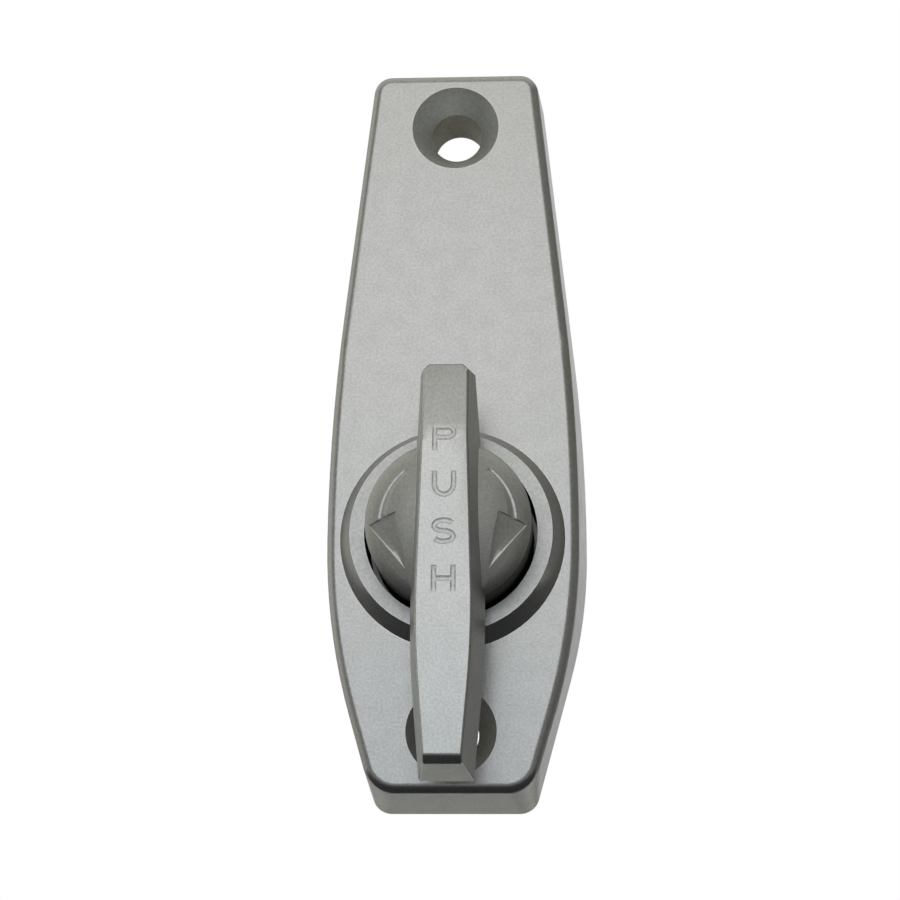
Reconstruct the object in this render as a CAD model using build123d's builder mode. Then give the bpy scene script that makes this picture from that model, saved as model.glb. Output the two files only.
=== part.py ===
from build123d import *
import os
from math import cos, radians, sin, tan

os.makedirs("parts", exist_ok=True)

# Thumb latch of a sliding door, all lengths in millimetres and all angles in degrees.
# The door lies behind y = 0, the room is towards -Y, Z is up along the plate and X is to the
# right seen from the room. A height is a distance from the door face towards the room.

# Plan of the escutcheon where it meets the door.
plate_length = 97.0
plate_width = 33.5
hub_drop = 15.4
upper_side_radius = 235.0
upper_side_angle = 6.45
lower_side_radius = 62.0
lower_side_angle = 15.1
corner_radius = 2.5

# Plan of its front face, drawn in from the plan at the door.
face_side_inset = 0.85
face_end_inset = 1.25
face_upper_radius = 270.0
face_upper_angle = 6.4
face_lower_radius = 80.0
face_lower_angle = 16.2
face_upper_corner_radius = 2.4
face_lower_corner_radius = 4.2

# Walls of the die-cast escutcheon.
plate_height = 11.8
plate_draft = 6.0
wall = 2.2
cavity_corner_radius = 2.0
edge_round = 1.2
edge_flats = 3
rib_width = 1.8
rib_setback = 3.0

# Countersunk screw holes, one above the other.
hole_spacing = 79.4
screw_bore = 6.6
countersink_mouth = 11.3
countersink_angle = 65.0
screw_boss_wall = 2.3

# Raised collar round the hub, and the bearing web at the bottom of its bore.
collar_rise = 3.5
collar_base = 28.3
collar_top = 25.3
bearing_web = 3.0
web_setback = 2.6

# Hub of the thumb turn.
hub_diameter = 20.4
hub_gap = 0.6
hub_rise = 6.1
dome_rise = 2.3
hub_rim_chamfer = 0.5
hub_roof = 3.0
hub_skirt_wall = 1.8

# Lever across the hub, measured on its top face.
lever_thickness = 8.8
lever_lift = 1.1
lever_draft = 7.5
lever_upper_reach = 17.9
lever_lower_reach = 30.4
lever_upper_width = 5.0
lever_middle_width = 7.1
lever_lower_width = 4.3
lever_belly_drop = 15.0
lever_belly_radius = 120.0
lever_nose_chamfer = 0.7
lever_edge_chamfer = 0.25
lever_tip_chamfer = 0.8
nose_slope_start = 9.0
nose_slope_drop = 1.5
nose_blend_radius = 15.0
nose_undercut = 2.5

# Stem, its bearing and the travel of the push.
stem_diameter = 9.9
stem_reach = 9.0
running_clearance = 0.05
push_travel = 3.0
push_spare = 0.6

# Return spring and the thrust washer between spring and hub.
spring_wire = 1.0
spring_turns = 5.5
spring_flats = 6
spring_turn_steps = 16
spring_side_room = 0.55
seat_gap = 0.05
thrust_washer_thickness = 0.8
washer_room = 0.4

# Retaining ring behind the web, and the wear washer in front of the ring.
groove_depth = 1.0
retaining_ring_thickness = 0.8
retaining_ring_rim = 1.7
retaining_ring_mouth = 5.6
retaining_ring_tab = 3.0
groove_room = 0.05
wear_washer_thickness = 0.6
wear_washer_rim = 2.8
end_play = 0.1

# Tail blade that works the lock inside the door, and its cross pin.
tail_width = 6.4
tail_thickness = 2.0
tail_reach = 28.0
tail_tip_chamfer = 1.2
tail_socket_depth = 8.0
tail_clearance = 0.05
pin_diameter = 2.0
pin_clearance = 0.02
pin_setback = 3.6
pin_end_setback = 0.3
pin_end_chamfer = 0.2

# Values that follow from the ones above.
hub_z = -hub_drop
hub_radius = hub_diameter / 2
collar_bore = hub_radius + hub_gap
collar_height = plate_height + collar_rise
cavity_depth = plate_height - wall
cavity_lean = cavity_depth * tan(radians(plate_draft))
web_height = web_setback + bearing_web
rim_height = collar_height + hub_rise
dome_height = rim_height + dome_rise
skirt_height = web_height + push_travel + push_spare
pocket_height = rim_height - hub_roof
pocket_radius = hub_radius - hub_skirt_wall
stem_radius = stem_diameter / 2
bearing_radius = stem_radius + running_clearance
lever_base_height = rim_height - lever_lift
lever_top_height = lever_base_height + lever_thickness
lever_spread = lever_thickness * tan(radians(lever_draft))
thrust_washer_height = pocket_height - seat_gap - thrust_washer_thickness
wear_washer_height = web_setback - end_play - wear_washer_thickness
retaining_ring_height = wear_washer_height - retaining_ring_thickness
groove_radius = stem_radius - groove_depth
pin_height = -stem_reach + pin_setback

# Seen from the room the drawing plane has X to the right and Z up.
front = Plane.XZ
hub_front = Plane(origin=(0, 0, hub_z), x_dir=(1, 0, 0), z_dir=(0, -1, 0))
hub_section = Plane(origin=(0, 0, hub_z), x_dir=(1, 0, 0), z_dir=(0, 0, -1))
hub_axis = Axis((0, 0, hub_z), (0, -1, 0))


# Outline of the plate: long gently bowed upper sides, shorter and fuller lower sides.
# Upper and lower are each a bow radius, the angle it turns through and a corner radius.
def plate_outline(width, length, upper, lower):
    upper_radius, upper_angle, upper_corner = upper
    lower_radius, lower_angle, lower_corner = lower
    with BuildSketch() as outline:
        with BuildLine():
            upper_bow = JernArc((width / 2, hub_z), (0, 1), upper_radius, upper_angle)
            upper_run = (length / 2 - (upper_bow @ 1).Y) / (upper_bow % 1).Y
            upper_side = Line(upper_bow @ 1, (upper_bow @ 1) + (upper_bow % 1) * upper_run)
            lower_bow = JernArc((width / 2, hub_z), (0, -1), lower_radius, -lower_angle)
            lower_run = (-length / 2 - (lower_bow @ 1).Y) / (lower_bow % 1).Y
            lower_side = Line(lower_bow @ 1, (lower_bow @ 1) + (lower_bow % 1) * lower_run)
            mirror(about=Plane.YZ)
            Line(upper_side @ 1, (-(upper_side @ 1).X, (upper_side @ 1).Y))
            Line(lower_side @ 1, (-(lower_side @ 1).X, (lower_side @ 1).Y))
        make_face()
        fillet(outline.vertices().group_by(Axis.Y)[0], lower_corner)
        fillet(outline.vertices().group_by(Axis.Y)[-1], upper_corner)
    return outline.sketch


# Outline at the door, drawn in by a wall for the cavity behind it.
def door_outline(inset, corner):
    return plate_outline(
        plate_width - 2 * inset,
        plate_length - 2 * inset,
        (upper_side_radius - inset, upper_side_angle, corner),
        (lower_side_radius - inset, lower_side_angle, corner),
    )


# Outline of the front face, drawn in a little further at each flat of its rounded edge.
def face_outline(inset):
    return plate_outline(
        plate_width - 2 * (face_side_inset + inset),
        plate_length - 2 * (face_end_inset + inset),
        (face_upper_radius - inset, face_upper_angle, face_upper_corner_radius - inset),
        (face_lower_radius - inset, face_lower_angle, face_lower_corner_radius - inset),
    )


# Escutcheon: a drafted shell, open at the back, with screw bosses, a collar and a bearing web.
with BuildPart() as escutcheon:
    with BuildSketch(front):
        add(door_outline(0, corner_radius))
    for flat in range(edge_flats + 1):
        lean = radians(90 * flat / edge_flats)
        with BuildSketch(front.offset(plate_height - edge_round * (1 - sin(lean)))):
            add(face_outline(edge_round * (1 - cos(lean))))
    loft(ruled=True)

    with BuildSketch(front):
        add(door_outline(wall, cavity_corner_radius))
    with BuildSketch(front.offset(cavity_depth)):
        add(door_outline(wall + cavity_lean, cavity_corner_radius - cavity_lean))
    loft(ruled=True, mode=Mode.SUBTRACT)

    with BuildSketch(front):
        with GridLocations(0, hole_spacing, 1, 2):
            Circle(screw_bore / 2 + screw_boss_wall)
    extrude(amount=plate_height - wall / 2)

    with BuildSketch(front.offset(rib_setback)):
        with Locations((0, (hub_z + hole_spacing / 2) / 2)):
            Rectangle(rib_width, hole_spacing / 2 - hub_z)
        with Locations((0, (hub_z - hole_spacing / 2) / 2)):
            Rectangle(rib_width, hole_spacing / 2 + hub_z)
    extrude(amount=plate_height - wall / 2 - rib_setback)

    with BuildSketch(hub_front.offset(web_height)):
        Circle(collar_bore + wall / 2)
    extrude(amount=collar_height - web_height, mode=Mode.SUBTRACT)

    with BuildSketch(hub_section):
        with BuildLine():
            Polyline(
                (0, web_setback),
                (collar_bore + wall, web_setback),
                (collar_bore + wall, plate_height - wall),
                (collar_base / 2, plate_height - wall),
                (collar_base / 2, plate_height),
                (collar_top / 2, collar_height),
                (collar_bore, collar_height),
                (collar_bore, web_height),
                (0, web_height),
                close=True,
            )
        make_face()
    revolve(axis=hub_axis)

    with BuildSketch(hub_front.offset(web_setback)):
        Circle(bearing_radius)
    extrude(amount=bearing_web, mode=Mode.SUBTRACT)

    with Locations(front.offset(plate_height)):
        with GridLocations(0, hole_spacing, 1, 2):
            CounterSinkHole(screw_bore / 2, countersink_mouth / 2, plate_height, countersink_angle)

escutcheon.part.label = "escutcheon"
export_step(escutcheon.part, "parts/escutcheon.step")


# Lever of the thumb turn: a drafted bar, widest below the hub, thinned to a nose at the upper end.
with BuildPart() as lever:
    with BuildSketch(hub_front.offset(lever_base_height)) as lever_plan:
        with BuildLine():
            Polyline(
                (lever_upper_width / 2 + lever_spread, lever_upper_reach + lever_spread),
                (lever_middle_width / 2 + lever_spread, -lever_belly_drop),
                (lever_lower_width / 2 + lever_spread, -lever_lower_reach - lever_spread),
                (-lever_lower_width / 2 - lever_spread, -lever_lower_reach - lever_spread),
                (-lever_middle_width / 2 - lever_spread, -lever_belly_drop),
                (-lever_upper_width / 2 - lever_spread, lever_upper_reach + lever_spread),
                close=True,
            )
        make_face()
        belly = lever_plan.vertices().filter_by(
            lambda corner: abs(corner.Y + lever_belly_drop) < 0.001
        )
        fillet(belly, lever_belly_radius)
    extrude(amount=lever_thickness, taper=lever_draft)

    nose_start = hub_z + nose_slope_start
    nose_run = lever_upper_reach - nose_slope_start
    nose_end = nose_start + 2 * nose_run
    with BuildSketch(Plane.YZ):
        with BuildLine():
            Polyline(
                (-lever_top_height, nose_start),
                (-lever_top_height + 2 * nose_slope_drop, nose_end),
                (-lever_top_height - lever_thickness, nose_end),
                (-lever_top_height - lever_thickness, nose_start),
                close=True,
            )
        make_face()
        with BuildLine():
            Polyline(
                (-lever_base_height, nose_start),
                (-lever_base_height - 2 * nose_undercut, nose_end),
                (-lever_base_height + lever_thickness, nose_end),
                (-lever_base_height + lever_thickness, nose_start),
                close=True,
            )
        make_face()
    extrude(amount=lever_thickness, both=True, mode=Mode.SUBTRACT)

    crown = lever.faces().sort_by(Axis.Y)[0]
    fillet(crown.edges().sort_by(Axis.Z)[-1], nose_blend_radius)
    uprights = lever.edges().filter_by(
        lambda edge: edge.bounding_box().size.Y > lever_thickness / 3
    ).group_by(Axis.Z)
    chamfer(uprights[-1], lever_nose_chamfer)
    chamfer(uprights[0], lever_edge_chamfer)
    crown_tip = lever.faces().sort_by(Axis.Y)[0].edges().sort_by(Axis.Z)[0]
    chamfer(crown_tip, lever_tip_chamfer)
    crown_edges = lever.edges().filter_by(
        lambda edge: edge.bounding_box().max.Y < -lever_top_height + 2 * nose_slope_drop
    )
    crown_seams = crown_edges.filter_by(Axis.X).sort_by(Axis.Z)[:-1]
    chamfer(crown_edges - crown_seams, lever_edge_chamfer)


# Thumb turn, one casting: domed hub with a skirt, lever across it, and the stem behind.
with BuildPart() as thumb_turn:
    with BuildSketch(hub_section) as hub_profile:
        with BuildLine():
            dome = TangentArc((0, dome_height), (hub_radius, rim_height), tangent=(1, 0))
            Polyline(
                dome @ 1,
                (hub_radius, skirt_height),
                (pocket_radius, skirt_height),
                (pocket_radius, pocket_height),
                (stem_radius, pocket_height),
                (stem_radius, -stem_reach),
                (0, -stem_reach),
                dome @ 0,
            )
        make_face()
        chamfer(hub_profile.vertices().group_by(Axis.X)[-1].sort_by(Axis.Y)[-1], hub_rim_chamfer)
    revolve(axis=hub_axis)
    add(lever.part)

    with BuildSketch(hub_front.offset(retaining_ring_height - groove_room)):
        Circle(stem_radius)
        Circle(groove_radius, mode=Mode.SUBTRACT)
    extrude(amount=retaining_ring_thickness + 2 * groove_room, mode=Mode.SUBTRACT)

    with BuildSketch(hub_front.offset(-stem_reach)):
        Rectangle(tail_thickness + 2 * tail_clearance, tail_width + 2 * tail_clearance)
    extrude(amount=tail_socket_depth, mode=Mode.SUBTRACT)

    with BuildSketch(Plane.YZ.offset(-stem_radius)):
        with Locations((-pin_height, hub_z)):
            Circle(pin_diameter / 2 + pin_clearance)
    extrude(amount=stem_diameter, mode=Mode.SUBTRACT)

thumb_turn.part.label = "thumb_turn"
export_step(thumb_turn.part, "parts/thumb_turn.step")


# Tail blade: flat steel, chamfered at the tip, pinned in the socket of the stem.
with BuildPart() as tail_blade:
    with BuildSketch(Plane.YZ) as blade:
        with BuildLine():
            Polyline(
                (stem_reach - tail_socket_depth + tail_clearance, hub_z - tail_width / 2),
                (tail_reach, hub_z - tail_width / 2),
                (tail_reach, hub_z + tail_width / 2),
                (stem_reach - tail_socket_depth + tail_clearance, hub_z + tail_width / 2),
                close=True,
            )
        make_face()
        chamfer(blade.vertices().group_by(Axis.X)[-1], tail_tip_chamfer)
        with Locations((-pin_height, hub_z)):
            Circle(pin_diameter / 2 + pin_clearance, mode=Mode.SUBTRACT)
    extrude(amount=tail_thickness / 2, both=True)

tail_blade.part.label = "tail_blade"
export_step(tail_blade.part, "parts/tail_blade.step")


# Cross pin through stem and blade, a little shorter than the stem is wide.
with BuildPart() as tail_pin:
    with BuildSketch(Plane.YZ):
        with Locations((-pin_height, hub_z)):
            Circle(pin_diameter / 2)
    extrude(amount=stem_radius - pin_end_setback, both=True)
    chamfer(tail_pin.edges().filter_by(GeomType.CIRCLE), pin_end_chamfer)

tail_pin.part.label = "tail_pin"
export_step(tail_pin.part, "parts/tail_pin.step")


# Thrust washer under the roof of the hub: it goes in and out with the hub but does not turn.
with BuildPart() as thrust_washer:
    with BuildSketch(hub_front.offset(thrust_washer_height)):
        Circle(pocket_radius - washer_room)
        Circle(bearing_radius, mode=Mode.SUBTRACT)
    extrude(amount=thrust_washer_thickness)

thrust_washer.part.label = "thrust_washer"
export_step(thrust_washer.part, "parts/thrust_washer.step")


# Return spring: wire wound round the stem, from the web up to the thrust washer, in short flats.
spring_radius = pocket_radius - spring_side_room - spring_wire / 2
spring_foot = web_height + seat_gap + spring_wire / 2
spring_head = thrust_washer_height - seat_gap - spring_wire / 2
spring_height = spring_head - spring_foot
spring_steps = round(spring_turns * spring_turn_steps)

coil_points = []
for step in range(spring_steps + 1):
    share = step / spring_steps
    turned = radians(360 * spring_turns * share)
    coil_points.append(
        (
            spring_radius * cos(turned),
            -spring_foot - spring_height * share,
            hub_z + spring_radius * sin(turned),
        )
    )

with BuildPart() as return_spring:
    with BuildLine() as coil:
        Polyline(coil_points)
    with BuildSketch(Plane(origin=coil.line @ 0, z_dir=coil.line % 0)):
        RegularPolygon(spring_wire / 2, spring_flats)
    sweep(transition=Transition.RIGHT)

return_spring.part.label = "return_spring"
export_step(return_spring.part, "parts/return_spring.step")


# Wear washer that runs on the back of the bearing web.
with BuildPart() as wear_washer:
    with BuildSketch(hub_front.offset(wear_washer_height)):
        Circle(stem_radius + wear_washer_rim)
        Circle(bearing_radius, mode=Mode.SUBTRACT)
    extrude(amount=wear_washer_thickness)

wear_washer.part.label = "wear_washer"
export_step(wear_washer.part, "parts/wear_washer.step")


# Retaining ring: an open ring with three tabs that reach the bottom of the groove.
ring_outer = stem_radius + retaining_ring_rim
ring_inner = stem_radius + groove_room

with BuildPart() as retaining_ring:
    with BuildSketch(hub_front.offset(retaining_ring_height)):
        Circle(ring_outer)
        Circle(ring_inner, mode=Mode.SUBTRACT)
        with PolarLocations((ring_inner + groove_radius) / 2, 3, start_angle=90):
            Rectangle(ring_inner - groove_radius + retaining_ring_rim, retaining_ring_tab)
        Circle(groove_radius + groove_room, mode=Mode.SUBTRACT)
        with Locations((0, -ring_outer)):
            Rectangle(retaining_ring_mouth, 2 * ring_outer, mode=Mode.SUBTRACT)
    extrude(amount=retaining_ring_thickness)

retaining_ring.part.label = "retaining_ring"
export_step(retaining_ring.part, "parts/retaining_ring.step")
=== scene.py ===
# %% [markdown]
# # A push-and-turn thumb latch for a sliding door
#
# The latch is two satin castings, an escutcheon and a lever with a domed hub, and a few small
# steel pieces behind them. The solids come from the CAD frame, already in place and in metres,
# so nothing here is moved or resized. This lesson adds what a drawing leaves out: the marks sunk
# into the lever and the dome, a round wire for the spring, the grain and wear of each finish,
# and a light that shows them.
#
# The first step only loads the frame.

# %% Load the frame
import math

import bmesh
import bpy
import numpy as np
from mathutils import Matrix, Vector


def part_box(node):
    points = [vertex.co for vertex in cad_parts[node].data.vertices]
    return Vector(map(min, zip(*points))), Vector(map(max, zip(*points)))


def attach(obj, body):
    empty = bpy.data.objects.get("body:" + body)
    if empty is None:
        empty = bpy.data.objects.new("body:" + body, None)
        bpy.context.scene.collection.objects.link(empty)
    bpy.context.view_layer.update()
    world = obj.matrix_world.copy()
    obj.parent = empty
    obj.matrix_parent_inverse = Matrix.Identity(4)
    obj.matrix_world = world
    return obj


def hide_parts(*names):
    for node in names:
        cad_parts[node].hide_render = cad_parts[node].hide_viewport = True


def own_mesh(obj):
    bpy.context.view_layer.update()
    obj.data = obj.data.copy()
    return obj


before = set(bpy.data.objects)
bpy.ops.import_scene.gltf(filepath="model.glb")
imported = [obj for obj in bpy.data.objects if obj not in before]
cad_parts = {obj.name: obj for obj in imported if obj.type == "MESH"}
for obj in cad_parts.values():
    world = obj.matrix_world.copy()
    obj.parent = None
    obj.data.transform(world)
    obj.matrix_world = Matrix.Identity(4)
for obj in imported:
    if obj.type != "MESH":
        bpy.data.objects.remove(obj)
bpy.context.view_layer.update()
MM = 0.001
print("nodes:", ", ".join(sorted(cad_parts)))

# %% [markdown]
# ## Where the hub is
#
# The lever turns about an axis that runs straight into the door. Everything on the hub is drawn
# round that axis, so the axis and the hub's size are measured on the loaded pieces. They could be
# typed in from the drawing, but a measured value stays true when the drawing changes.

# %% Measure the hub and the lever
pin_low, pin_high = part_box("tail_pin")
thumb_low, thumb_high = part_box("thumb_turn")
hub_z = (pin_low[2] + pin_high[2]) / 2
hub_radius = (thumb_high[0] - thumb_low[0]) / 2
lever_top = -thumb_low[1]
print(f"hub axis at z {hub_z / MM:.2f} mm, hub radius {hub_radius / MM:.2f} mm,"
      f" lever top {lever_top / MM:.2f} mm off the door")

# %% [markdown]
# ## Marks sunk into the casting
#
# Two curved arrows lie in the dome, one on each side of the lever, and four plain letters run
# down the lever. On the real casting the die leaves them as shallow recesses with sloping walls.
# They could be painted on with a texture, but then no wall would catch the light, and it is only
# by their walls that such marks can be read. So each stroke becomes a closed cutter.
#
# A stroke starts as two rails that lie on the casting. The cutter carries a trapezoid along
# them: a floor drawn in from both rails and sunk below the surface, and a roof spread out and
# raised above it. Where a stroke is narrower than its two walls the floor rises, which turns
# the trapezoid into a groove with the same slope.

# %% Rails beside a path
def rails_along(path, half):
    """Two rails beside a path of x and z: each point moved by half a width along the path's
    normal, which is its direction turned by a right angle."""
    run = np.gradient(path, axis=0)
    run = run / np.linalg.norm(run, axis=1, keepdims=True)
    across = np.column_stack([-run[:, 1], run[:, 0]])
    half = np.broadcast_to(half, len(path))[:, None]
    return path + across * half, path - across * half


print("rails_along turns a path into two rails")


# %% Meshes from rings of corners
def mesh_object(name, points, faces):
    """A mesh object at the origin, with every face turned outwards."""
    mesh = bpy.data.meshes.new(name)
    mesh.from_pydata(points.tolist(), [], faces)
    shape = bmesh.new()
    shape.from_mesh(mesh)
    bmesh.ops.recalc_face_normals(shape, faces=shape.faces)
    shape.to_mesh(mesh)
    shape.free()
    made = bpy.data.objects.new(name, mesh)
    bpy.context.collection.objects.link(made)
    return made


def closed_tube(rings):
    """Points and faces of a closed tube from an array of stations, each a ring of corners: four
    sided faces join every ring to the next, and one face closes each end."""
    stations, corners = rings.shape[:2]
    index = np.arange(stations * corners).reshape(stations, corners)
    here, after = index[:-1], index[1:]
    walls = np.stack([here, np.roll(here, -1, 1), np.roll(after, -1, 1), after], axis=2)
    faces = walls.reshape(-1, 4).tolist()
    faces += [index[0][::-1].tolist(), index[-1].tolist()]
    return rings.reshape(-1, 3), faces


print("closed_tube joins rings of corners, mesh_object makes a mesh of them")

# %% A cutter with sloping walls
ROOF_RISE = 0.6
GROOVE_SHARE = 0.46


def sunk_cutter(name, rails, surface, depth, wall, ends=1.0):
    """A cutter with sloping walls between two rails. At each station the floor is the surface
    less the depth, drawn in by one wall, and the roof is the surface plus ROOF_RISE depths,
    spread by as many walls. The floor's depth and inset are scaled down where GROOVE_SHARE of
    the width is less than a wall. The stations are drawn together and apart along the path too,
    by ends times as much."""
    left, right = rails
    span = right - left
    width = np.linalg.norm(span, axis=1, keepdims=True)
    across = span / width
    run = np.gradient((left + right) / 2, axis=0)
    run = run / np.linalg.norm(run, axis=1, keepdims=True)
    inward = run * np.linspace(ends, -ends, len(run))[:, None]
    share = np.minimum(1.0, GROOVE_SHARE * width / wall)
    inset, spread = wall * share, wall * ROOF_RISE
    plans = [left + (across + inward) * inset, right + (inward - across) * inset,
             right + (across - inward) * spread, left - (across + inward) * spread]
    heights = [surface(plans[0]) - depth * share[:, 0], surface(plans[1]) - depth * share[:, 0],
               surface(right) + depth * ROOF_RISE, surface(left) + depth * ROOF_RISE]
    rings = np.stack([np.column_stack([plan[:, 0], -height, plan[:, 1] + hub_z])
                      for plan, height in zip(plans, heights)], axis=1)
    return mesh_object(name, *closed_tube(rings))


print(f"a cutter's roof stands {ROOF_RISE} depths above the casting")

# %% [markdown]
# ### Arrows on the dome
#
# The arrows show which way the lever goes. Each has a thin curved shaft and a long head whose
# barbs are not quite opposite. The dome is a cap of a sphere, so its height above any point
# follows from its rise and the hub's radius, and a floor that follows it gives a recess of even
# depth. The left arrow is worked out first and the right one is its mirror image.

# %% Height of the dome
DOME_RISE = 2.3 * MM
DOME_TOP = 23.7 * MM
DOME_SPHERE = (hub_radius ** 2 + DOME_RISE ** 2) / (2 * DOME_RISE)


def dome_height(rail):
    """Distance of the dome from the door: the top less R - sqrt(R^2 - r^2)."""
    reach_squared = np.minimum((rail ** 2).sum(axis=1), hub_radius ** 2)
    return DOME_TOP - (DOME_SPHERE - np.sqrt(DOME_SPHERE ** 2 - reach_squared))


print(f"the dome's sphere has a radius of {DOME_SPHERE / MM:.1f} mm")

# %% Rails of the arrows
ARROW_RADIUS = 8.05 * MM
ARROW_START, ARROW_NECK, ARROW_TIP = 128.0, 182.0, 231.5
ARROW_BARB_IN, ARROW_BARB_OUT = 172.0, 183.7
SHAFT_WIDTH = 1.05 * MM
HEAD_WIDTH = 3.55 * MM
ARROW_DEPTH = 0.14 * MM
ARROW_WALL = 0.35 * MM
ARROW_ENDS = 0.5
SHAFT_START = 0.5
SHAFT_STATIONS = 17
HEAD_STATIONS = 14
HEAD_END = 0.97


def on_ring(radius, degrees):
    """Points at polar coordinates round the hub axis: radius times (cos, sin) of the angle."""
    angle = np.radians(np.atleast_1d(degrees))
    return np.column_stack([radius * np.cos(angle), radius * np.sin(angle)])


def arrow_rails(side):
    """Rails of an arrow's shaft and head. The shaft follows a ring, and its width grows evenly
    with the turn, from SHAFT_START of the full one; the head's rails are two straight lines from
    its barbs towards the tip, and stop at HEAD_END of the way, while there is a width left."""
    turn = np.linspace(0.0, 1.0, SHAFT_STATIONS)
    path = on_ring(ARROW_RADIUS, ARROW_START + (ARROW_NECK - ARROW_START) * turn)
    shaft = rails_along(path, SHAFT_WIDTH / 2 * (SHAFT_START + (1.0 - SHAFT_START) * turn))
    barb_in = on_ring(ARROW_RADIUS - HEAD_WIDTH / 2, ARROW_BARB_IN)
    barb_out = on_ring(ARROW_RADIUS + HEAD_WIDTH / 2, ARROW_BARB_OUT)
    tip = on_ring(ARROW_RADIUS, ARROW_TIP)
    share = np.linspace(0.0, HEAD_END, HEAD_STATIONS)[:, None]
    head = barb_in + (tip - barb_in) * share, barb_out + (tip - barb_out) * share
    mirror = np.array([side, 1.0])
    return [(inner * mirror, outer * mirror) for inner, outer in (shaft, head)]


cutters = []
for label, side in (("left", 1.0), ("right", -1.0)):
    for part, rails in zip(("shaft", "head"), arrow_rails(side)):
        cutters.append(sunk_cutter(
            f"{part}_{label}", rails, dome_height, ARROW_DEPTH, ARROW_WALL, ARROW_ENDS))
print("arrow cutters:", ", ".join(cutter.name for cutter in cutters))

# %% [markdown]
# ### Letters on the lever
#
# The four letters are plain block capitals of one stroke width, so shallow that only their walls
# show. Blender's text object could draw them, but its outlines have no slope. Here a letter is a
# few strokes, each a straight bar or part of an ellipse, and the same cutter serves for all of
# them. The topmost letter lies where the lever starts to slope towards its nose, so the height
# that the floor follows is flat, then part of a circle, then a straight slope.

# %% Height of the lever's top
NOSE_START = 9.0 * MM
NOSE_SLOPE = 1.5 / 8.9
NOSE_BLEND = 15.0 * MM


def crown_height(rail):
    """Distance of the lever's top from the door: lever_top less a drop. With d the distance
    past the start of the blend, the drop is R - sqrt(R^2 - d^2) on the blend of radius R, and
    the slope times the distance past NOSE_START beyond it."""
    tilt = math.atan(NOSE_SLOPE)
    begin = NOSE_START - NOSE_BLEND * math.tan(tilt / 2)
    past = np.clip(rail[:, 1] - begin, 0.0, NOSE_BLEND * math.sin(tilt))
    blend = NOSE_BLEND - np.sqrt(NOSE_BLEND ** 2 - past ** 2)
    straight = NOSE_SLOPE * (rail[:, 1] - NOSE_START)
    beyond = rail[:, 1] > begin + NOSE_BLEND * math.sin(tilt)
    return lever_top - np.where(beyond, straight, blend)


print(f"the lever's nose slopes by {math.degrees(math.atan(NOSE_SLOPE)):.1f} degrees")

# %% Strokes of the letters
LETTER_WIDTH = 2.95 * MM
LETTER_HEIGHT = 3.25 * MM
LETTER_STROKE = 0.66 * MM
LOOP_WIDTH = 1.2
BAR_STATIONS = 7
BOW_STATIONS = 19


def bar(start, end):
    """Rails of a straight stroke from start to end."""
    share = np.linspace(0.0, 1.0, BAR_STATIONS)[:, None]
    return rails_along(np.array(start) + (np.array(end) - np.array(start)) * share,
                       LETTER_STROKE / 2)


def bow(centre, wide, high, start, end):
    """Rails of a bent stroke: part of an ellipse, centre plus (wide cos, high sin)."""
    angle = np.radians(np.linspace(start, end, BOW_STATIONS))
    path = np.column_stack([wide * np.cos(angle), high * np.sin(angle)]) + np.array(centre)
    return rails_along(path, LETTER_STROKE / 2)


def letter_strokes():
    """Strokes of the four letters, each letter round its own middle. The first letter's loop is
    LOOP_WIDTH times as wide as half its height. A bar runs on by a lap where a bow takes over,
    so that no ridge is left between the two."""
    side = (LETTER_WIDTH - LETTER_STROKE) / 2
    top = (LETTER_HEIGHT - LETTER_STROKE) / 2
    edge = LETTER_HEIGHT / 2
    stem = bar((-side, -edge), (-side, edge))
    loop = top / 2
    eye = side - loop * LOOP_WIDTH
    lap = LETTER_STROKE / 2
    first = [stem, bar((-side, top), (eye + lap, top)), bar((-side, 0.0), (eye + lap, 0.0)),
             bow((eye, loop), loop * LOOP_WIDTH, loop, -90.0, 90.0)]
    second = [bar((-side, -lap), (-side, edge)), bar((side, -lap), (side, edge)),
              bow((0.0, 0.0), side, top, 180.0, 360.0)]
    third = [bow((0.0, loop), side, loop, 25.0, 275.0), bow((0.0, -loop), side, loop, 95.0, -155.0)]
    fourth = [stem, bar((side, -edge), (side, edge)), bar((-side, 0.0), (side, 0.0))]
    return [first, second, third, fourth]


print("strokes in each letter:", [len(strokes) for strokes in letter_strokes()])

# %% Cutters of the letters
LETTER_DEPTH = 0.05 * MM
LETTER_WALL = 0.2 * MM
FIRST_LETTER = 8.5 * MM
LETTER_PITCH = 5.74 * MM

for row, strokes in enumerate(letter_strokes()):
    place = np.array([0.0, FIRST_LETTER - row * LETTER_PITCH])
    for number, (left, right) in enumerate(strokes):
        cutters.append(sunk_cutter(f"letter_{row}_{number}", (left + place, right + place),
                                   crown_height, LETTER_DEPTH, LETTER_WALL))
print("cutters with the letters:", len(cutters))

# %% [markdown]
# ## The two castings as smooth skins
#
# A solid arrives from CAD as loose triangles, each shaded flat. A copy of it is joined into one
# skin first, because a boolean needs a closed shape and soft shading needs neighbours that share
# corners. Then the marks are cut. A bevel could round the edges once more, but the drawing has
# narrow flats along them already: normals weighted by face area keep the big faces flat and let
# those narrow flats carry the roundness, which is how a cast edge looks.

# %% Helpers for joined copies
JOIN_DISTANCE = 0.002 * MM
FLAT_ANGLE = 0.2


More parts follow.
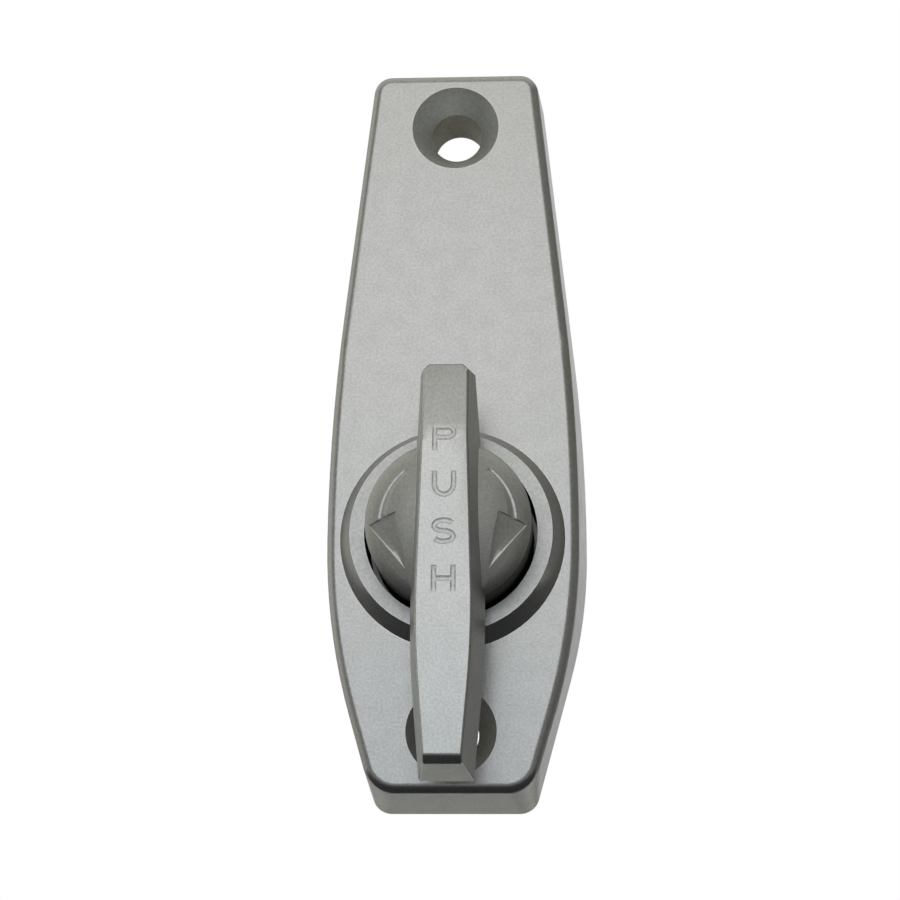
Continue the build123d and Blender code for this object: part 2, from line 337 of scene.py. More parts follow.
def joined_copy(node, name):
    """A copy of a CAD node with its loose triangles joined into one closed skin, where triangles
    that lie flat beside each other become one face."""
    copy = bpy.data.objects.new(name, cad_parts[node].data.copy())
    bpy.context.collection.objects.link(copy)
    skin = bmesh.new()
    skin.from_mesh(copy.data)
    bmesh.ops.remove_doubles(skin, verts=skin.verts, dist=JOIN_DISTANCE)
    bmesh.ops.dissolve_limit(
        skin, angle_limit=math.radians(FLAT_ANGLE), verts=skin.verts, edges=skin.edges)
    skin.to_mesh(copy.data)
    skin.free()
    copy.data.attributes.remove(copy.data.attributes["custom_normal"])
    return copy


def face_places(mesh):
    """Middle and normal of each face, as two arrays."""
    middles, normals = np.empty(len(mesh.polygons) * 3), np.empty(len(mesh.polygons) * 3)
    mesh.polygons.foreach_get("center", middles)
    mesh.polygons.foreach_get("normal", normals)
    return middles.reshape(-1, 3), normals.reshape(-1, 3)


def bake_modifiers(piece):
    """Applies a piece's modifiers to its mesh."""
    graph = bpy.context.evaluated_depsgraph_get()
    mesh = bpy.data.meshes.new_from_object(piece.evaluated_get(graph))
    piece.modifiers.clear()
    piece.data = mesh


print(f"corners nearer than {JOIN_DISTANCE / MM:.3f} mm are joined")

# %% [markdown]
# ### Slots and soft shading
#
# A casting is not the same all over: a recess, a bore and a rubbed face look different. So the
# faces are sorted into numbered slots by where they lie, and each slot gets a finish later. A
# painted mask could do the same, but its border would be soft, and here the borders matter for
# the shading too. Edges between two slots stay sharp. Otherwise the soft normals would run on
# across the border of a shallow mark, and its walls would vanish.

# %% Helpers for slots and shading
SLOTS = 6
SOFT_ANGLE = 50.0
BIG_FACES_FIRST = 100


def in_slots(piece, slots):
    """Puts every face into a numbered, still empty material slot; one number serves for all."""
    faces = piece.data.polygons
    slots = np.broadcast_to(slots, len(faces)).astype(np.int32)
    piece.data.materials.clear()
    for _ in range(SLOTS):
        piece.data.materials.append(None)
    faces.foreach_set("material_index", slots)


def slot_borders(mesh):
    """True for each edge between two slots: the lowest and the highest slot number among the
    faces at the edge are not the same."""
    slots = np.empty(len(mesh.polygons), dtype=np.int32)
    corners = np.empty(len(mesh.polygons), dtype=np.int32)
    edges = np.empty(len(mesh.loops), dtype=np.int32)
    mesh.polygons.foreach_get("material_index", slots)
    mesh.polygons.foreach_get("loop_total", corners)
    mesh.loops.foreach_get("edge_index", edges)
    slots = np.repeat(slots, corners)
    low, high = np.full(len(mesh.edges), SLOTS), np.zeros(len(mesh.edges), dtype=int)
    np.minimum.at(low, edges, slots)
    np.maximum.at(high, edges, slots)
    return low < high


def soften(piece, degrees):
    """Soft shading across edges flatter than the angle, except between two slots, weighted so
    that big faces stay flat."""
    piece.data.shade_smooth()
    piece.data.set_sharp_from_angle(angle=math.radians(degrees))
    sharp = np.empty(len(piece.data.edges), dtype=bool)
    piece.data.edges.foreach_get("use_edge_sharp", sharp)
    piece.data.edges.foreach_set("use_edge_sharp", sharp | slot_borders(piece.data))
    weight = piece.modifiers.new("weight", "WEIGHTED_NORMAL")
    weight.mode = "FACE_AREA"
    weight.weight = BIG_FACES_FIRST
    weight.keep_sharp = True
    bake_modifiers(piece)


print(f"up to {SLOTS} slots on a piece, soft edges below {SOFT_ANGLE:.0f} degrees")

# %% [markdown]
# ### The lever and its hub
#
# Lever and hub are one casting, with the marks in it from the die. The cutters could be joined
# and taken away in one boolean, but their strokes overlap, so each gets a boolean of its own.
# The cutters carry slots, and each new wall and floor stays in the slot of the mark that cut it.
# The other faces of the hub are told by their distance from its axis and by the way they look.

# %% Slots of the lever
ROUND_ROOM = 0.1 * MM
DOME_ROOM = 0.5 * MM
STRAIGHT_AWAY = 0.95
FRONT_FACING = 0.25


def hub_slots(mesh):
    """Slot of each face of the cut lever: 1 stays in the letters and 4 in the arrows, 2 is the
    hub's round side, as far from the axis as the hub is wide and facing straight away from it,
    3 is the dome with its rim, 0 the rest."""
    slots = np.empty(len(mesh.polygons), dtype=np.int32)
    mesh.polygons.foreach_get("material_index", slots)
    middles, normals = face_places(mesh)
    plan = middles[:, [0, 2]] - np.array([0.0, hub_z])
    reach = np.hypot(plan[:, 0], plan[:, 1])
    away = (plan * normals[:, [0, 2]]).sum(axis=1) / reach
    side = (np.abs(reach - hub_radius) < ROUND_ROOM) & (away > STRAIGHT_AWAY)
    level = np.abs(middles[:, 1] + dome_height(plan)) < DOME_ROOM
    on_dome = level & (normals[:, 1] < -FRONT_FACING) & (reach < hub_radius)
    return np.select([slots > 0, side, on_dome], [slots, 2, 3], 0)


print("slots of the lever: 0 lever, 1 letters, 2 hub side, 3 dome, 4 arrows")

# %% Cut the marks into the lever
thumb = joined_copy("thumb_turn", "thumb_turn_marked")
in_slots(thumb, 0)
for cutter in cutters:
    in_slots(cutter, 1 if cutter.name.startswith("letter") else 4)
    cut = thumb.modifiers.new(cutter.name, "BOOLEAN")
    cut.operation = "DIFFERENCE"
    cut.solver = "EXACT"
    cut.object = cutter
bake_modifiers(thumb)
for cutter in cutters:
    bpy.data.objects.remove(cutter)
slots = hub_slots(thumb.data)
in_slots(thumb, slots)
soften(thumb, SOFT_ANGLE)
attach(thumb, "thumb")
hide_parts("thumb_turn")
print("faces of the lever in each slot:", np.bincount(slots).tolist())

# %% [markdown]
# ### The escutcheon
#
# The plate has no marks to cut. Its countersinks, screw bores and the collar's top and bore get
# slots, because they were machined or rubbed in other ways than the plate's face, or not at all;
# the slots of the collar's bore and of the lower countersink also carry painted shade.
# The faces could be picked by hand, but a rule is shorter and finds them again after a change:
# they are told by their distance from the axes of the holes and of the hub.

# %% Slots of the escutcheon
HOLE_SPACING = 79.4 * MM
MOUTH_RADIUS = 5.66 * MM
BORE_RADIUS = 3.3 * MM
PLATE_FRONT = 11.8 * MM
COLLAR_FRONT = 15.3 * MM
COLLAR_BORE = 10.8 * MM
FRONT_ROOM = 0.05 * MM
BORE_ROOM = 0.03 * MM
BACK_FACING = 0.5


def plate_slots(mesh):
    """Slot of each face by where its middle is and which way it looks: 1 in the upper countersink
    and 5 in the lower one, 2 in a screw bore, 3 on the flat top of the collar, 4 in the collar's
    bore, else 0, as at the back."""
    middles, normals = face_places(mesh)
    x, y, z = middles.T
    screw = np.hypot(x, np.abs(z) - HOLE_SPACING / 2)
    hub = np.hypot(x, z - hub_z)
    below_face = (y > FRONT_ROOM - PLATE_FRONT) & (normals[:, 1] < BACK_FACING)
    hole = (screw < MOUTH_RADIUS) & below_face
    screw_bore = hole & (screw < BORE_RADIUS + BORE_ROOM)
    top = y < FRONT_ROOM - COLLAR_FRONT
    bore = (np.abs(hub - COLLAR_BORE) < ROUND_ROOM) & ~top
    return np.select([screw_bore, hole & (z > 0.0), hole, top, bore], [2, 1, 5, 3, 4], 0)


print("slots of the plate: 0 plate, 1 upper countersink, 2 screw bores, 3 collar top,"
      " 4 collar bore, 5 lower countersink")

# %% Smooth the escutcheon
plate = joined_copy("escutcheon", "escutcheon_skin")
slots = plate_slots(plate.data)
in_slots(plate, slots)
soften(plate, SOFT_ANGLE)
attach(plate, "escutcheon_body")
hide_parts("escutcheon")
print("faces of the escutcheon in each slot:", np.bincount(slots).tolist())

# %% [markdown]
# ## The return spring
#
# Behind the hub a coil of round wire pushes the lever back out. The solid has a wire of six
# flats, which is enough to measure and to collide with. A curve with a bevel could give a round
# one, but a tube has a plain formula: a circle carried along a helix, with the circle's two axes
# pointing away from the coil's axis and across the wire. The coil is wound at rest, and it goes
# with the escutcheon, on which one end of it rests.

# %% Wind the wire
spring_low, spring_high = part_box("return_spring")
WIRE_RADIUS = 0.5 * MM
WIRE_STATIONS = 265
WIRE_CORNERS = 12
COIL_TURNS = 5.5
coil_radius = (spring_high[0] - spring_low[0]) / 2 - WIRE_RADIUS
coil_near, coil_far = -spring_high[1] + WIRE_RADIUS, -spring_low[1] - WIRE_RADIUS


def wire_rings(stations, corners):
    """Rings of the wire. The helix is (R cos a, -h, R sin a) with h rising evenly with a; each
    ring is the helix plus r (cos b outwards + sin b sideways), where outwards is (cos a, 0,
    sin a) and sideways is at right angles to it and to the helix."""
    share = np.linspace(0.0, 1.0, stations)
    angle = 2 * math.pi * COIL_TURNS * share
    height = coil_near + (coil_far - coil_near) * share
    zero = np.zeros(stations)
    helix = np.column_stack(
        [coil_radius * np.cos(angle), -height, hub_z + coil_radius * np.sin(angle)])
    outwards = np.column_stack([np.cos(angle), zero, np.sin(angle)])
    rise = (coil_far - coil_near) / (2 * math.pi * COIL_TURNS)
    along = np.column_stack(
        [-coil_radius * np.sin(angle), zero - rise, coil_radius * np.cos(angle)])
    sideways = np.cross(outwards, along / np.linalg.norm(along, axis=1, keepdims=True))
    around = np.linspace(0.0, 2 * math.pi, corners, endpoint=False)[None, :, None]
    return helix[:, None] + WIRE_RADIUS * (
        np.cos(around) * outwards[:, None] + np.sin(around) * sideways[:, None])


spring = mesh_object("return_spring_wire", *closed_tube(wire_rings(WIRE_STATIONS, WIRE_CORNERS)))
soften(spring, SOFT_ANGLE)
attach(spring, "escutcheon_body")
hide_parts("return_spring")
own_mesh(spring)
print(f"spring: {COIL_TURNS} turns, {2 * coil_radius / MM:.1f} mm across the wire's middle")

# %% [markdown]
# ## Finishes
#
# Both castings have a satin silver finish over a tumbled surface. Close up it is a fine speckle
# with faint clouds, and it is rubbed a little brighter along the edges. The steel pieces behind
# them have the same kinds of marks in other strengths, so two shader groups are made once and
# every finish sets its own values on them.
#
# The first group is the grain. Two noises, one of about a third of a millimetre and one of a few
# millimetres, are stretched to a stronger contrast and mixed into a tone. The clouds also change
# the roughness, because a rubbed patch looks smoother.

# %% Helpers for shader nodes
def add_sockets(group, inputs, outputs):
    """Adds named sockets to a node group and returns its input and output nodes."""
    for names, way in ((inputs, "INPUT"), (outputs, "OUTPUT")):
        for name, kind in names:
            group.interface.new_socket(name, in_out=way, socket_type="NodeSocket" + kind)
    return group.nodes.new("NodeGroupInput"), group.nodes.new("NodeGroupOutput")


def math_node(tree, operation, first, second=None, third=None):
    """A Math node; a number is set on its socket and an output is linked to it."""
    node = tree.nodes.new("ShaderNodeMath")
    node.operation = operation
    for socket, value in zip(node.inputs, (first, second, third)):
        if isinstance(value, (int, float)):
            socket.default_value = value
        elif value is not None:
            tree.links.new(value, socket)
    return node.outputs[0]


def stretch(tree, value, low, high, dark=0.0, bright=1.0):
    """A Map Range node that eases a value from low to high into dark to bright."""
    ramp = tree.nodes.new("ShaderNodeMapRange")
    ramp.interpolation_type = "SMOOTHSTEP"
    limits = {"From Min": low, "From Max": high, "To Min": dark, "To Max": bright}
    for name, number in limits.items():
        ramp.inputs[name].default_value = number
    tree.links.new(value, ramp.inputs["Value"])
    return ramp.outputs["Result"]


def noise_node(tree, scale, detail):
    """A Noise node on Object coordinates; its scale is linked."""
    noise = tree.nodes.new("ShaderNodeTexNoise")
    noise.inputs["Detail"].default_value = detail
    place = tree.nodes.new("ShaderNodeTexCoord")
    tree.links.new(place.outputs["Object"], noise.inputs["Vector"])
    tree.links.new(scale, noise.inputs["Scale"])
    return noise.outputs["Fac"]


def mix_color(tree, share, first, second):
    """A colour Mix node between two linked colours."""
    mix = tree.nodes.new("ShaderNodeMix")
    mix.data_type = "RGBA"
    tree.links.new(share, mix.inputs["Factor"])
    tree.links.new(first, mix.inputs["A"])
    tree.links.new(second, mix.inputs["B"])
    return mix.outputs["Result"]


print("helpers for sockets, sums, ramps, noises and mixes")

# %% A group for grain
SPECKLE_DETAIL, SPECKLE_LOW, SPECKLE_HIGH = 2.0, 0.32, 0.68
CLOUD_DETAIL, CLOUD_LOW, CLOUD_HIGH = 3.0, 0.3, 0.7
CLOUD_SHARE = 0.11
CLOUD_ROUGHNESS = 0.025


def grain_group():
    """Tone = cloud times CLOUD_SHARE + speckle times the rest, mixed from dark to light; the
    roughness rises with the cloud, by CLOUD_ROUGHNESS at most, and the height is the tone."""
    group = bpy.data.node_groups.new("casting_grain", "ShaderNodeTree")
    come, go = add_sockets(
        group,
        [("Light", "Color"), ("Dark", "Color"), ("Speckle scale", "Float"),
         ("Cloud scale", "Float"), ("Roughness", "Float")],
        [("Color", "Color"), ("Roughness", "Float"), ("Height", "Float")],
    )
    fine = noise_node(group, come.outputs["Speckle scale"], SPECKLE_DETAIL)
    speckle = stretch(group, fine, SPECKLE_LOW, SPECKLE_HIGH)
    broad = noise_node(group, come.outputs["Cloud scale"], CLOUD_DETAIL)
    cloud = stretch(group, broad, CLOUD_LOW, CLOUD_HIGH)
    clouds = math_node(group, "MULTIPLY", cloud, CLOUD_SHARE)
    tone = math_node(group, "MULTIPLY_ADD", speckle, 1.0 - CLOUD_SHARE, clouds)
    group.links.new(
        mix_color(group, tone, come.outputs["Dark"], come.outputs["Light"]), go.inputs["Color"])
    gloss = math_node(group, "MULTIPLY_ADD", cloud, CLOUD_ROUGHNESS, come.outputs["Roughness"])
    group.links.new(gloss, go.inputs["Roughness"])
    group.links.new(tone, go.inputs["Height"])
    return group


GRAIN = grain_group()
print("group:", GRAIN.name, "with outputs Color, Roughness, Height")

# %% [markdown]
# The second group finds edges. The Bevel node gives the normal that a rounded edge would have;
# where it differs from the plain normal there is an edge nearby. A noise breaks the line up,
# because hands and doors rub an edge in some places more than in others.

# %% A group for edge wear
EDGE_LOW, EDGE_HIGH = 0.004, 0.09
PATCH_DETAIL, PATCH_LOW, PATCH_HIGH = 3.0, 0.3, 0.65
PATCH_LEAST = 0.35
RUBBED_ROUGHNESS = -0.08
BEVEL_SAMPLES = 4


def wear_group():
    """Wear = 1 - the dot product of the plain and the rounded normal, stretched from EDGE_LOW to
    EDGE_HIGH and broken up by a noise that leaves PATCH_LEAST of it; the colour goes towards the
    rubbed one with it, and the roughness by RUBBED_ROUGHNESS."""
    group = bpy.data.node_groups.new("edge_wear", "ShaderNodeTree")
    come, go = add_sockets(
        group,
        [("Color", "Color"), ("Rubbed", "Color"), ("Roughness", "Float"), ("Radius", "Float"),
         ("Patch scale", "Float"), ("Amount", "Float")],
        [("Color", "Color"), ("Roughness", "Float")],
    )
    rounded = group.nodes.new("ShaderNodeBevel")
    rounded.samples = BEVEL_SAMPLES
    group.links.new(come.outputs["Radius"], rounded.inputs["Radius"])
    plain = group.nodes.new("ShaderNodeNewGeometry")
    dot = group.nodes.new("ShaderNodeVectorMath")
    dot.operation = "DOT_PRODUCT"
    group.links.new(rounded.outputs["Normal"], dot.inputs[0])
    group.links.new(plain.outputs["Normal"], dot.inputs[1])
    bend = math_node(group, "SUBTRACT", 1.0, dot.outputs["Value"])
    edge = stretch(group, bend, EDGE_LOW, EDGE_HIGH)
    blotch = noise_node(group, come.outputs["Patch scale"], PATCH_DETAIL)
    patch = stretch(group, blotch, PATCH_LOW, PATCH_HIGH, PATCH_LEAST, 1.0)
    broken = math_node(group, "MULTIPLY", edge, patch)
    wear = math_node(group, "MULTIPLY", broken, come.outputs["Amount"])
    group.links.new(
        mix_color(group, wear, come.outputs["Color"], come.outputs["Rubbed"]), go.inputs["Color"])
    smooth = math_node(group, "MULTIPLY_ADD", wear, RUBBED_ROUGHNESS, come.outputs["Roughness"])
    group.links.new(smooth, go.inputs["Roughness"])
    return group


WEAR = wear_group()
print("group:", WEAR.name, "with outputs Color, Roughness")

# %% [markdown]
# A finish is a Principled shader with the two groups in front of it, and a Bump node for the
# relief of the grain. One material with many switches could serve for all pieces, but then each
# would carry nodes that it does not need. A function makes a small material for each finish.

# %% How a finish is made
EDGE_RADIUS = 0.3 * MM
WEAR_PATCH = 700.0
RELIEF = 0.02 * MM


def finish(name, light, dark, rubbed, roughness, metallic=1.0, bump=0.2, wear=0.5,
           speckle=3300.0, cloud=420.0):
    """A Principled material with grain and edge wear in its colour, roughness and normal."""
    material = bpy.data.materials.new(name)
    material.use_nodes = True
    nodes, links = material.node_tree.nodes, material.node_tree.links
    shader = nodes["Principled BSDF"]
    shader.inputs["Metallic"].default_value = metallic
    grain, edges = nodes.new("ShaderNodeGroup"), nodes.new("ShaderNodeGroup")
    grain.node_tree, edges.node_tree = GRAIN, WEAR
    for socket, value in (("Light", (*light, 1.0)), ("Dark", (*dark, 1.0)),
                          ("Speckle scale", speckle), ("Cloud scale", cloud),
                          ("Roughness", roughness)):
        grain.inputs[socket].default_value = value
    for socket, value in (("Rubbed", (*rubbed, 1.0)), ("Radius", EDGE_RADIUS),
                          ("Patch scale", WEAR_PATCH), ("Amount", wear)):
        edges.inputs[socket].default_value = value
    relief = nodes.new("ShaderNodeBump")
    relief.inputs["Strength"].default_value = bump
    relief.inputs["Distance"].default_value = RELIEF
    links.new(grain.outputs["Color"], edges.inputs["Color"])
    links.new(grain.outputs["Roughness"], edges.inputs["Roughness"])
    links.new(edges.outputs["Color"], shader.inputs["Base Color"])
    links.new(edges.outputs["Roughness"], shader.inputs["Roughness"])
    links.new(grain.outputs["Height"], relief.inputs["Height"])
    links.new(relief.outputs["Normal"], shader.inputs["Normal"])
    return material


print("a finish takes three colours, a roughness and the strengths of its grain and wear")

# %% [markdown]
# ### Finishes of the castings
#
# Zinc castings with a satin plating are a light neutral grey and scatter a reflection widely. The
# lever is handled every day, so it is a little brighter and smoother than the plate. The collar's
# top and the arrows are only tumbled, and the dome, which no hand rubs, is duller still. A thumb
# does not reach into the letters, so they look like the plate. The hub's side and the bore that it
# runs in get a near-black finish, which is painted shade for the dark gap between them. The
# countersinks are bright but dull, and the lower one, under the lever's end, is darker: a painted
# shadow of the lever. The screw bores are left as they come from the die, rough and a little
# warm. One finish under a painted mask could stand for all of these, but finishes of their own
# are easier to change one by one.

# %% Castings
satin = finish("satin_casting", (0.61, 0.61, 0.60), (0.505, 0.51, 0.505), (0.72, 0.72, 0.71),
               roughness=0.33)
handled = finish("handled_casting", (0.65, 0.65, 0.64), (0.535, 0.54, 0.535), (0.76, 0.76, 0.75),
                 roughness=0.32)
tumbled = finish("tumbled_casting", (0.60, 0.605, 0.595), (0.50, 0.505, 0.495), (0.70, 0.70, 0.69),
                 roughness=0.365, bump=0.25)
domed = finish("domed_casting", (0.60, 0.605, 0.59), (0.50, 0.505, 0.49), (0.70, 0.70, 0.69),
               roughness=0.45, metallic=0.9, bump=0.25)
# Painted shade: a near-black finish on the hub's side and the collar's bore, for the dark gap
# between them.
gap_shade = finish("gap_shade_casting", (0.11, 0.11, 0.10), (0.05, 0.05, 0.045), (0.2, 0.2, 0.19),
                 roughness=0.5, metallic=0.8, bump=0.4, wear=0.3, speckle=1800.0)
countersunk = finish("countersunk_casting", (0.93, 0.94, 0.92), (0.80, 0.81, 0.80), (1.0, 1.0, 1.0),
                     roughness=0.48, metallic=0.8, bump=0.3, wear=0.9, speckle=2400.0)
# Painted shadow: the lower countersink, under the lever's end, is a darker copy of the countersink
# finish.
lever_shadow = finish("lever_shadow_countersink", (0.60, 0.605, 0.58), (0.51, 0.515, 0.50), (0.8, 0.8, 0.78),
                roughness=0.48, metallic=0.8, bump=0.3, wear=0.9, speckle=2400.0)
as_cast = finish("as_cast_bore", (0.57, 0.56, 0.49), (0.45, 0.44, 0.39), (0.9, 0.9, 0.88),
                 roughness=0.6, metallic=0.9, bump=0.6, wear=0.9, speckle=2400.0)
castings = (satin, handled, tumbled, domed, gap_shade, countersunk, lever_shadow, as_cast)
print("finishes of the castings:", ", ".join(made.name for made in castings))

# %% [markdown]
# ### Finishes of the small pieces
#
# Zinc plated steel is a little warmer than the castings, and smoother. Spring wire is drawn and
# oiled, so it is dark. The washer that runs on the casting is plain nylon, which is no metal.
# They could share the castings' finish, since the front hides them, but from behind they are
# what tells one piece from the next.

# %% Steel, wire and nylon
steel = finish("plated_steel", (0.64, 0.63, 0.60), (0.47, 0.46, 0.43), (0.75, 0.74, 0.71),
               roughness=0.27, bump=0.3, wear=0.6, speckle=2600.0, cloud=300.0)
wire = finish("spring_steel", (0.36, 0.36, 0.37), (0.21, 0.21, 0.22), (0.5, 0.5, 0.5),
              roughness=0.30, bump=0.3, wear=0.4, speckle=2600.0, cloud=500.0)
nylon = finish("nylon", (0.83, 0.82, 0.78), (0.73, 0.72, 0.67), (0.88, 0.87, 0.84),
               roughness=0.48, metallic=0.0, wear=0.4, speckle=2000.0, cloud=300.0)
print("finishes of the small pieces:", ", ".join(made.name for made in (steel, wire, nylon)))


# %% Dress the pieces
def dress(piece, *materials):
    """Fills a piece's slots with materials; slots that are not there yet are added."""
    for number, material in enumerate(materials):
        if number < len(piece.data.materials):
            piece.data.materials[number] = material
        else:
            piece.data.materials.append(material)


dress(thumb, handled, satin, gap_shade, domed, tumbled)
dress(plate, satin, countersunk, as_cast, tumbled, gap_shade, lever_shadow)
dress(spring, wire)
for node, material in (("tail_blade", steel), ("tail_pin", steel), ("thrust_washer", steel),
                       ("retaining_ring", wire), ("wear_washer", nylon)):
    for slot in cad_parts[node].material_slots:
        slot.material = material
print("dressed:", ", ".join([thumb.name, plate.name, spring.name]), "and five CAD pieces")

# %% [markdown]
# ## The stage
#
# The latch hangs in front of a white ground, over a plain pale floor. A metal shows what is
# round it, so the floor matters even where the camera does not see it: under a real product
# shot the table edge and the camera's side of the room are dark, and the faces that look down
# are nearly black. The floor is therefore a pale sheet that the camera sees as pale. In
# reflections it is bright only far behind the latch and, less so, far in front; near the latch
# it has just the light that falls on it. Light Path tells the rays apart, and it sits in the
# floor's own material.

# %% Floor
FLOOR_HALF = 4.0
FLOOR_DROP = 0.9
FLOOR_PALE = (0.85, 0.85, 0.85, 1.0)
FLOOR_DARK = (0.06, 0.067, 0.08, 1.0)
FLOOR_GLOW = (1.0, 1.0, 0.93, 1.0)
GLOW_STRENGTH = 0.6
FLOOR_ROUGHNESS = 0.9
BEHIND_FROM, BEHIND_FULL, BEHIND_SHARE = 1.2, 2.4, 0.68
BEFORE_FROM, BEFORE_FULL, BEFORE_SHARE = -1.0, -3.2, 0.38


def floor_sheet(half, height):
    """A flat square sheet: the four corners plus and minus half, at one height."""
    corners = np.array([[-1, -1], [1, -1], [1, 1], [-1, 1]]) * half
    return mesh_object("floor", np.column_stack([corners, np.full(4, height)]), [[0, 1, 2, 3]])


def pale_floor():
    """A matt floor that is pale and glows a little for rays from the camera. For mirrored and
    transmitted rays it eases to a share of that far behind the latch, and to a smaller share far
    before it; for other rays it is dark."""
    material = bpy.data.materials.new("pale_floor")
    material.use_nodes = True
    tree = material.node_tree
    shader = tree.nodes["Principled BSDF"]
    shader.inputs["Roughness"].default_value = FLOOR_ROUGHNESS
    path = tree.nodes.new("ShaderNodeLightPath")
    place = tree.nodes.new("ShaderNodeTexCoord")
    split = tree.nodes.new("ShaderNodeSeparateXYZ")
    tree.links.new(place.outputs["Object"], split.inputs[0])
    behind = stretch(tree, split.outputs["Y"], BEHIND_FROM, BEHIND_FULL, 0.0, BEHIND_SHARE)
    before = stretch(tree, split.outputs["Y"], BEFORE_FROM, BEFORE_FULL, 0.0, BEFORE_SHARE)
    mirrored = math_node(
        tree, "MAXIMUM", path.outputs["Is Glossy Ray"], path.outputs["Is Transmission Ray"])
    far = math_node(tree, "MULTIPLY", mirrored, math_node(tree, "MAXIMUM", behind, before))
    seen = math_node(tree, "MAXIMUM", path.outputs["Is Camera Ray"], far)
    tone = tree.nodes.new("ShaderNodeMix")
    tone.data_type = "RGBA"
    tone.inputs["A"].default_value = FLOOR_DARK
    tone.inputs["B"].default_value = FLOOR_PALE
    tree.links.new(seen, tone.inputs["Factor"])
    tree.links.new(tone.outputs["Result"], shader.inputs["Base Color"])
    shader.inputs["Emission Color"].default_value = FLOOR_GLOW
    glow = math_node(tree, "MULTIPLY", seen, GLOW_STRENGTH)
    tree.links.new(glow, shader.inputs["Emission Strength"])
    return material


floor = floor_sheet(FLOOR_HALF, -FLOOR_DROP)
dress(floor, pale_floor())
print(f"floor: {2 * FLOOR_HALF} m square, {FLOOR_DROP} m below the latch")

# %% [markdown]
# ## Light
#
# One large soft lamp in front, a little above and to the left, is what the flat faces mirror
# towards the camera, so it sets their grey. A second, lower and cooler one under it fills the
# lower part of the plate, which leans its mirror image further down. Small lamps could give as
# much light, but a satin face would show each as a bright spot. The spread is kept narrow, so
# that the lamps light the latch and not the floor before it.

# %% Lamps
LAMP_SPREAD = 80.0
LATCH_MIDDLE = (0.0, 0.0, -0.01)


def softbox(name, place, size, watts, tint):
    """An area lamp at a place that looks at the latch: its z axis points away from the latch's
    middle, and its x axis is level."""
    lamp = bpy.data.lights.new(name, "AREA")
    lamp.shape = "RECTANGLE"
    lamp.size, lamp.size_y = size
    lamp.energy = watts
    lamp.color = tint
    lamp.spread = math.radians(LAMP_SPREAD)
    rig = bpy.data.objects.new(name, lamp)
    bpy.context.collection.objects.link(rig)
    away = np.array(place) - np.array(LATCH_MIDDLE)
    away = away / np.linalg.norm(away)
    side = np.cross([0.0, 0.0, 1.0], away)
    side = side / np.linalg.norm(side)
    turn = np.eye(4)
    turn[:3] = np.column_stack([side, np.cross(away, side), away, place])
    rig.matrix_world = Matrix(turn.tolist())


softbox("front", place=(-0.08, -0.94, 0.32), size=(0.64, 0.45), watts=0.206,
        tint=(1.0, 0.995, 0.985))
softbox("low", place=(-0.08, -0.99, 0.035), size=(0.64, 0.14), watts=0.055,
        tint=(0.83, 0.985, 1.13))
print("lamps: front and low")

# %% [markdown]
# The world is the room. The camera sees it white, which is the ground of the picture. Mirrored
# rays see that white only straight behind the latch, as from a backdrop of some size; elsewhere
# they meet a dim room, warm, lighter overhead and on the left, dark below. A picture of a studio
# could stand for the room, but a few soft ramps are enough, and each can be changed by itself.
# Their values are low, so the lamps decide how bright the latch is.

# %% Surround
UPWARDS = (0.0, 0.0, 1.0)
LEFTWARDS = (-0.95, 0.1, 0.25)
BACKDROP = (-0.06, 0.937, 0.345)
BACKDROP_EDGE, BACKDROP_FULL = 33.0, 15.0
ROOM_TINT = (1.0, 0.995, 0.90)
# Each part of the room: the dot products where it starts and ends, and its values there
ROOM_LEVEL = (-0.6, -0.05, 0.02, 0.17)
ROOM_ABOVE = (0.4, 1.0, 0.0, 0.42)
ROOM_LEFT = (0.6, 0.95, 0.0, 0.36)


def facing(tree, direction, low, high, dark, bright):
    """A value that eases from dark to bright as a ray turns towards a direction: the dot
    product of the two unit vectors, stretched."""
    place = tree.nodes.new("ShaderNodeTexCoord")
    dot = tree.nodes.new("ShaderNodeVectorMath")
    dot.operation = "DOT_PRODUCT"
    dot.inputs[1].default_value = np.array(direction) / np.linalg.norm(direction)
    tree.links.new(place.outputs["Generated"], dot.inputs[0])
    return stretch(tree, dot.outputs["Value"], low, high, dark, bright)


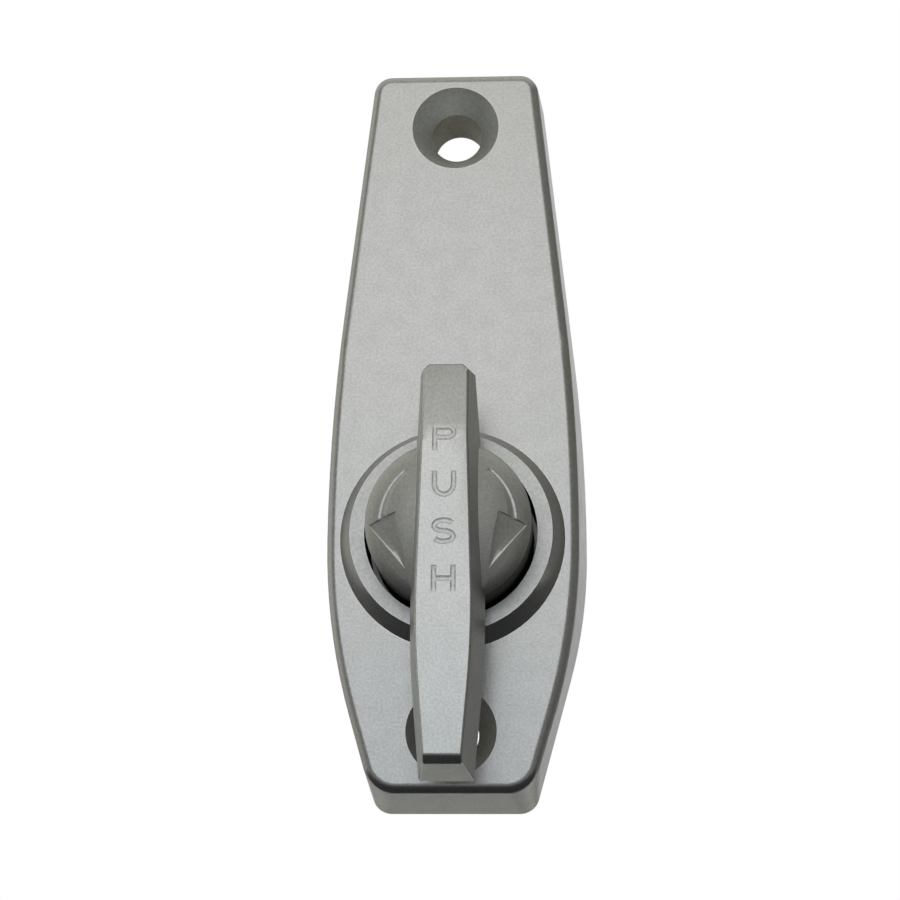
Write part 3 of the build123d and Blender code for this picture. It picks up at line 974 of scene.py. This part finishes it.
def surround():
    """White for the camera and, towards BACKDROP, for mirrored and transmitted rays, in full
    within BACKDROP_FULL degrees and fading out at BACKDROP_EDGE; for all other rays a dim room,
    whose brightness is the sum of a part that rises with the ray's height, one overhead and one
    on the left."""
    world = bpy.data.worlds.new("surround")
    world.use_nodes = True
    sky = world.node_tree
    sky.nodes.clear()
    path = sky.nodes.new("ShaderNodeLightPath")
    edge, full = (math.cos(math.radians(angle)) for angle in (BACKDROP_EDGE, BACKDROP_FULL))
    backdrop = facing(sky, BACKDROP, edge, full, 0.0, 1.0)
    mirrored = math_node(
        sky, "MAXIMUM", path.outputs["Is Glossy Ray"], path.outputs["Is Transmission Ray"])
    white = math_node(sky, "MAXIMUM", path.outputs["Is Camera Ray"],
                      math_node(sky, "MULTIPLY", mirrored, backdrop))
    level = facing(sky, UPWARDS, *ROOM_LEVEL)
    above = facing(sky, UPWARDS, *ROOM_ABOVE)
    left = facing(sky, LEFTWARDS, *ROOM_LEFT)
    room = sky.nodes.new("ShaderNodeBackground")
    room.inputs["Color"].default_value = (*ROOM_TINT, 1.0)
    height = math_node(sky, "ADD", level, above)
    sky.links.new(math_node(sky, "ADD", height, left), room.inputs["Strength"])
    seen = sky.nodes.new("ShaderNodeBackground")
    seen.inputs["Color"].default_value = (1.0, 1.0, 1.0, 1.0)
    choose = sky.nodes.new("ShaderNodeMixShader")
    out = sky.nodes.new("ShaderNodeOutputWorld")
    sky.links.new(white, choose.inputs["Fac"])
    sky.links.new(room.outputs[0], choose.inputs[1])
    sky.links.new(seen.outputs[0], choose.inputs[2])
    sky.links.new(choose.outputs[0], out.inputs["Surface"])
    return world


bpy.context.scene.world = surround()
print("world:", bpy.context.scene.world.name)

# %% [markdown]
# ## Camera
#
# The photograph was taken from close by, from a little below and to the right. Its place was
# found by fitting a camera to the round edges in the picture, whose ellipses say how far each of
# them is turned away. A long lens from further off would flatten the lever against the plate.

# %% Camera
CAMERA_PLACE = (0.01902, -0.32222, -0.08584)
CAMERA_TURN = (104.753, -0.428, 3.465)
CAMERA_LENS = 101.63
SENSOR_WIDTH = 36.0
NEAREST_SEEN = 0.01

camera = bpy.data.objects.new("camera", bpy.data.cameras.new("camera"))
bpy.context.collection.objects.link(camera)
camera.location = CAMERA_PLACE
camera.rotation_euler = [math.radians(angle) for angle in CAMERA_TURN]
camera.data.lens = CAMERA_LENS
camera.data.sensor_width = SENSOR_WIDTH
camera.data.clip_start = NEAREST_SEEN
bpy.context.scene.camera = camera
bpy.context.scene.view_settings.view_transform = "Standard"
print("camera at", [round(c, 3) for c in camera.location])
